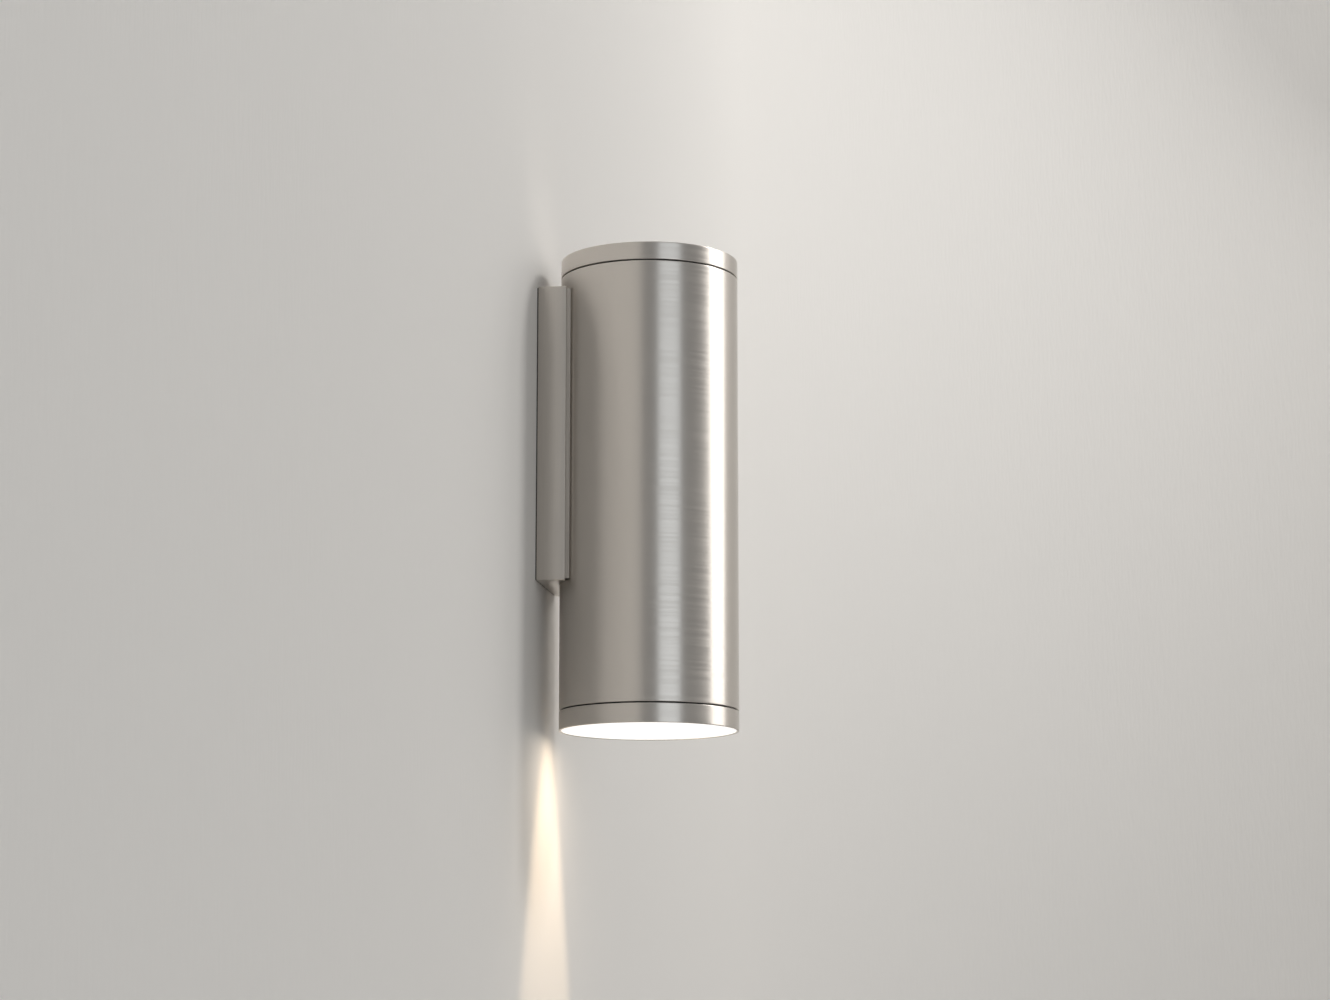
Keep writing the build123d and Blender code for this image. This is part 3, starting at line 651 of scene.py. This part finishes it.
# ---------------------------------------------------------------- stage
def coved_wall(name, room):
    """Wall a hair in front of the wall plate's back face, turned through a cove to the side wall."""
    deselect()
    height, reach, face = 5.0, 5.0, -0.05 * MM
    bpy.ops.mesh.primitive_plane_add(size=1, location=((room.cove_start - reach) / 2, face, 0),
                                     rotation=(math.radians(90), 0, 0))
    wall = bpy.context.object
    wall.name = name
    wall.scale = (room.cove_start + reach, height, 1)
    bpy.ops.object.transform_apply(location=True, rotation=True, scale=True)
    bpy.ops.object.mode_set(mode="EDIT")
    bpy.ops.mesh.select_mode(type="EDGE")
    bpy.ops.mesh.select_all(action="DESELECT")
    bpy.ops.object.mode_set(mode="OBJECT")
    for edge in wall.data.edges:
        edge.select = all(wall.data.vertices[index].co.x > room.cove_start - MM for index in edge.vertices)
    bpy.ops.object.mode_set(mode="EDIT")
    steps, place = 24, (0, 0)
    for step in range(1, steps + 1):
        turn = math.radians(90) * step / steps
        ahead = (room.cove_radius * math.sin(turn), room.cove_radius * (math.cos(turn) - 1))
        bpy.ops.mesh.extrude_edges_move(
            TRANSFORM_OT_translate={"value": (ahead[0] - place[0], ahead[1] - place[1], 0)})
        place = ahead
    bpy.ops.mesh.extrude_edges_move(TRANSFORM_OT_translate={"value": (0, -reach, 0)})
    bpy.ops.object.mode_set(mode="OBJECT")
    bpy.ops.object.shade_smooth_by_angle(angle=SHARP_ANGLE)
    return wall


def one_sided(name, colour):
    """Pale plaster on its front face, clear from behind."""
    made, shader = material(name)
    tree = made.node_tree
    place = put(tree, "ShaderNodeTexCoord").outputs["Object"]
    cloud = stretched_noise(tree, place, (3, 3, 3), detail=3)
    grit = stretched_noise(tree, place, (520, 520, 90), detail=6)
    tree.links.new(tint(tree, cloud, shaded(colour, 0.985), shaded(colour, 1.015)),
                   shader.inputs["Base Color"])
    tree.links.new(relief(tree, grit, 0.5, 0.3 * MM), shader.inputs["Normal"])
    shader.inputs["Roughness"].default_value = 0.75
    behind = put(tree, "ShaderNodeNewGeometry").outputs["Backfacing"]
    clear = put(tree, "ShaderNodeBsdfTransparent")
    mix = put(tree, "ShaderNodeMixShader")
    tree.links.new(behind, mix.inputs[0])
    tree.links.new(shader.outputs[0], mix.inputs[1])
    tree.links.new(clear.outputs[0], mix.inputs[2])
    tree.links.new(mix.outputs[0], tree.nodes["Material Output"].inputs["Surface"])
    return made


def area_light(name, side, rise, distance, width, height, radiance, colour):
    """Soft box that faces the piece: degrees right of the wall's normal, degrees up, metres away."""
    side, rise = math.radians(side), math.radians(rise)
    towards = Vector((math.sin(side) * math.cos(rise), -math.cos(side) * math.cos(rise), math.sin(rise)))
    data = bpy.data.lights.new(name, "AREA")
    data.shape = "RECTANGLE"
    data.size, data.size_y = width, height
    data.energy = radiance * math.pi * width * height
    data.color = colour
    lamp = bpy.data.objects.new(name, data)
    bpy.context.scene.collection.objects.link(lamp)
    lamp.location = AXIS + towards * distance
    lamp.rotation_euler = (-towards).to_track_quat("-Z", "Y").to_euler()
    lamp.visible_camera = False
    return lamp


def soft_boxes(room):
    """Soft boxes that give the tube its bands, the wall its light and the light its shadow."""
    area_light("key_light", side=16.5, rise=39, distance=2.0, width=0.5, height=0.42, radiance=16.0,
               colour=room.warm_white)
    side = area_light("side_light", side=50, rise=30, distance=1.0, width=0.5, height=0.5, radiance=1.85,
                      colour=room.warm_white)
    side.visible_glossy = False
    window = area_light("window_light", side=17, rise=16, distance=1.8, width=0.84, height=1.1, radiance=2.45,
                        colour=room.warm_white)
    window.visible_diffuse = False
    area_light("room_light", side=-56, rise=4, distance=2.1, width=1.05, height=1.7, radiance=0.8,
               colour=room.cool_white)


def lamp_glow(room):
    """Lamp's beam, which marks the wall below, and the glow under the lens."""
    beam = bpy.data.lights.new("lamp_beam", "SPOT")
    beam.spot_size, beam.spot_blend, beam.shadow_soft_size = room.beam_angle, 0.4, 2 * MM
    beam.use_shadow = False
    spill = bpy.data.lights.new("lens_spill", "AREA")
    spill.shape, spill.size = "DISK", 1.7 * TUBE_RADIUS
    under_lens = cad_low.z - 0.3 * MM
    for light, share, height in ((beam, 1, room.beam_height), (spill, room.spill, under_lens)):
        light.energy, light.color = room.beam * share, room.lamp_colour
        lamp = bpy.data.objects.new(light.name, light)
        bpy.context.scene.collection.objects.link(lamp)
        lamp.location = (AXIS.x + room.beam_shift, AXIS.y, height)
        lamp.visible_camera = lamp.visible_glossy = False


def room_world(room):
    """World: an even room that turns to a brighter ceiling overhead."""
    world = bpy.data.worlds.new("room")
    world.use_nodes = True
    tree = world.node_tree
    apart = put(tree, "ShaderNodeSeparateXYZ")
    tree.links.new(put(tree, "ShaderNodeTexCoord").outputs["Generated"], apart.inputs[0])
    above = spread_between(tree, apart.outputs["Z"], 0, 1, 0.75, 0.95)
    tree.links.new(tint(tree, above, room.room_colour, room.ceiling_colour),
                   tree.nodes["Background"].inputs["Color"])
    return world


def photo_camera(room):
    """Camera at the photograph's viewing angle."""
    camera = bpy.data.objects.new("camera", bpy.data.cameras.new("camera"))
    bpy.context.scene.collection.objects.link(camera)
    camera.data.sensor_width = 36
    camera.data.lens = room.focal_length
    camera.data.clip_start, camera.data.clip_end = 0.01, 50
    camera.location = room.camera_place
    pitch, heading = room.camera_pitch, room.camera_heading
    level = math.cos(pitch)
    ahead = Vector((level * math.cos(heading), level * math.sin(heading), math.sin(pitch)))
    camera.rotation_euler = ahead.to_track_quat("-Z", "Y").to_euler()
    return camera


class WALLLIGHT_OT_stage(bpy.types.Operator):
    """Walls, floor, soft boxes and camera"""

    bl_idname = "walllight.stage"
    bl_label = "Stage"

    def execute(self, context):
        scene, room = context.scene, context.scene.walllight_stage
        coved_wall("stage_wall", room).data.materials.append(one_sided("plaster", room.wall_colour))
        deselect()
        bpy.ops.mesh.primitive_plane_add(size=12, location=(-2.25, -3.0, -1.5))
        floor = bpy.context.object
        floor.name = "stage_floor"
        bpy.ops.object.transform_apply(location=True, rotation=False, scale=False)
        floor.data.materials.append(one_sided("floor_paint", room.floor_colour))
        soft_boxes(room)
        lamp_glow(room)
        scene.world = room_world(room)
        scene.camera = photo_camera(room)
        scene.view_settings.view_transform = "Standard"
        return {"FINISHED"}


class WALLLIGHT_PT_panel(bpy.types.Panel):
    """Builds each piece of the wall light"""

    bl_idname = "WALLLIGHT_PT_panel"
    bl_label = "Tube wall light"
    bl_space_type = "VIEW_3D"
    bl_region_type = "UI"
    bl_category = "Wall light"

    def draw(self, context):
        for step in STEPS:
            self.layout.operator(step.bl_idname)
        for group in GROUPS:
            settings = getattr(context.scene, group)
            for name in settings.__annotations__:
                self.layout.prop(settings, name)


GROUPS = {
    "walllight_turned": TurnedSizes,
    "walllight_steel": SteelFinish,
    "walllight_lens": LensFinish,
    "walllight_stage": StageSettings,
}
STEPS = (
    WALLLIGHT_OT_stage,
    WALLLIGHT_OT_tube,
    WALLLIGHT_OT_cap,
    WALLLIGHT_OT_bezel,
    WALLLIGHT_OT_lens,
    WALLLIGHT_OT_seals,
    WALLLIGHT_OT_bracket,
    WALLLIGHT_OT_finishes,
)


def register():
    """Registers the settings, the steps and the panel."""
    for kind in (*GROUPS.values(), *STEPS, WALLLIGHT_PT_panel):
        bpy.utils.register_class(kind)
    for name, kind in GROUPS.items():
        setattr(bpy.types.Scene, name, PointerProperty(type=kind))


def unregister():
    """Takes away what register added."""
    for name in GROUPS:
        delattr(bpy.types.Scene, name)
    for kind in reversed((*GROUPS.values(), *STEPS, WALLLIGHT_PT_panel)):
        bpy.utils.unregister_class(kind)


def main():
    """Builds every piece."""
    register()
    for step in STEPS:
        group, name = step.bl_idname.split(".")
        getattr(getattr(bpy.ops, group), name)()


if __name__ == "__main__":
    main()
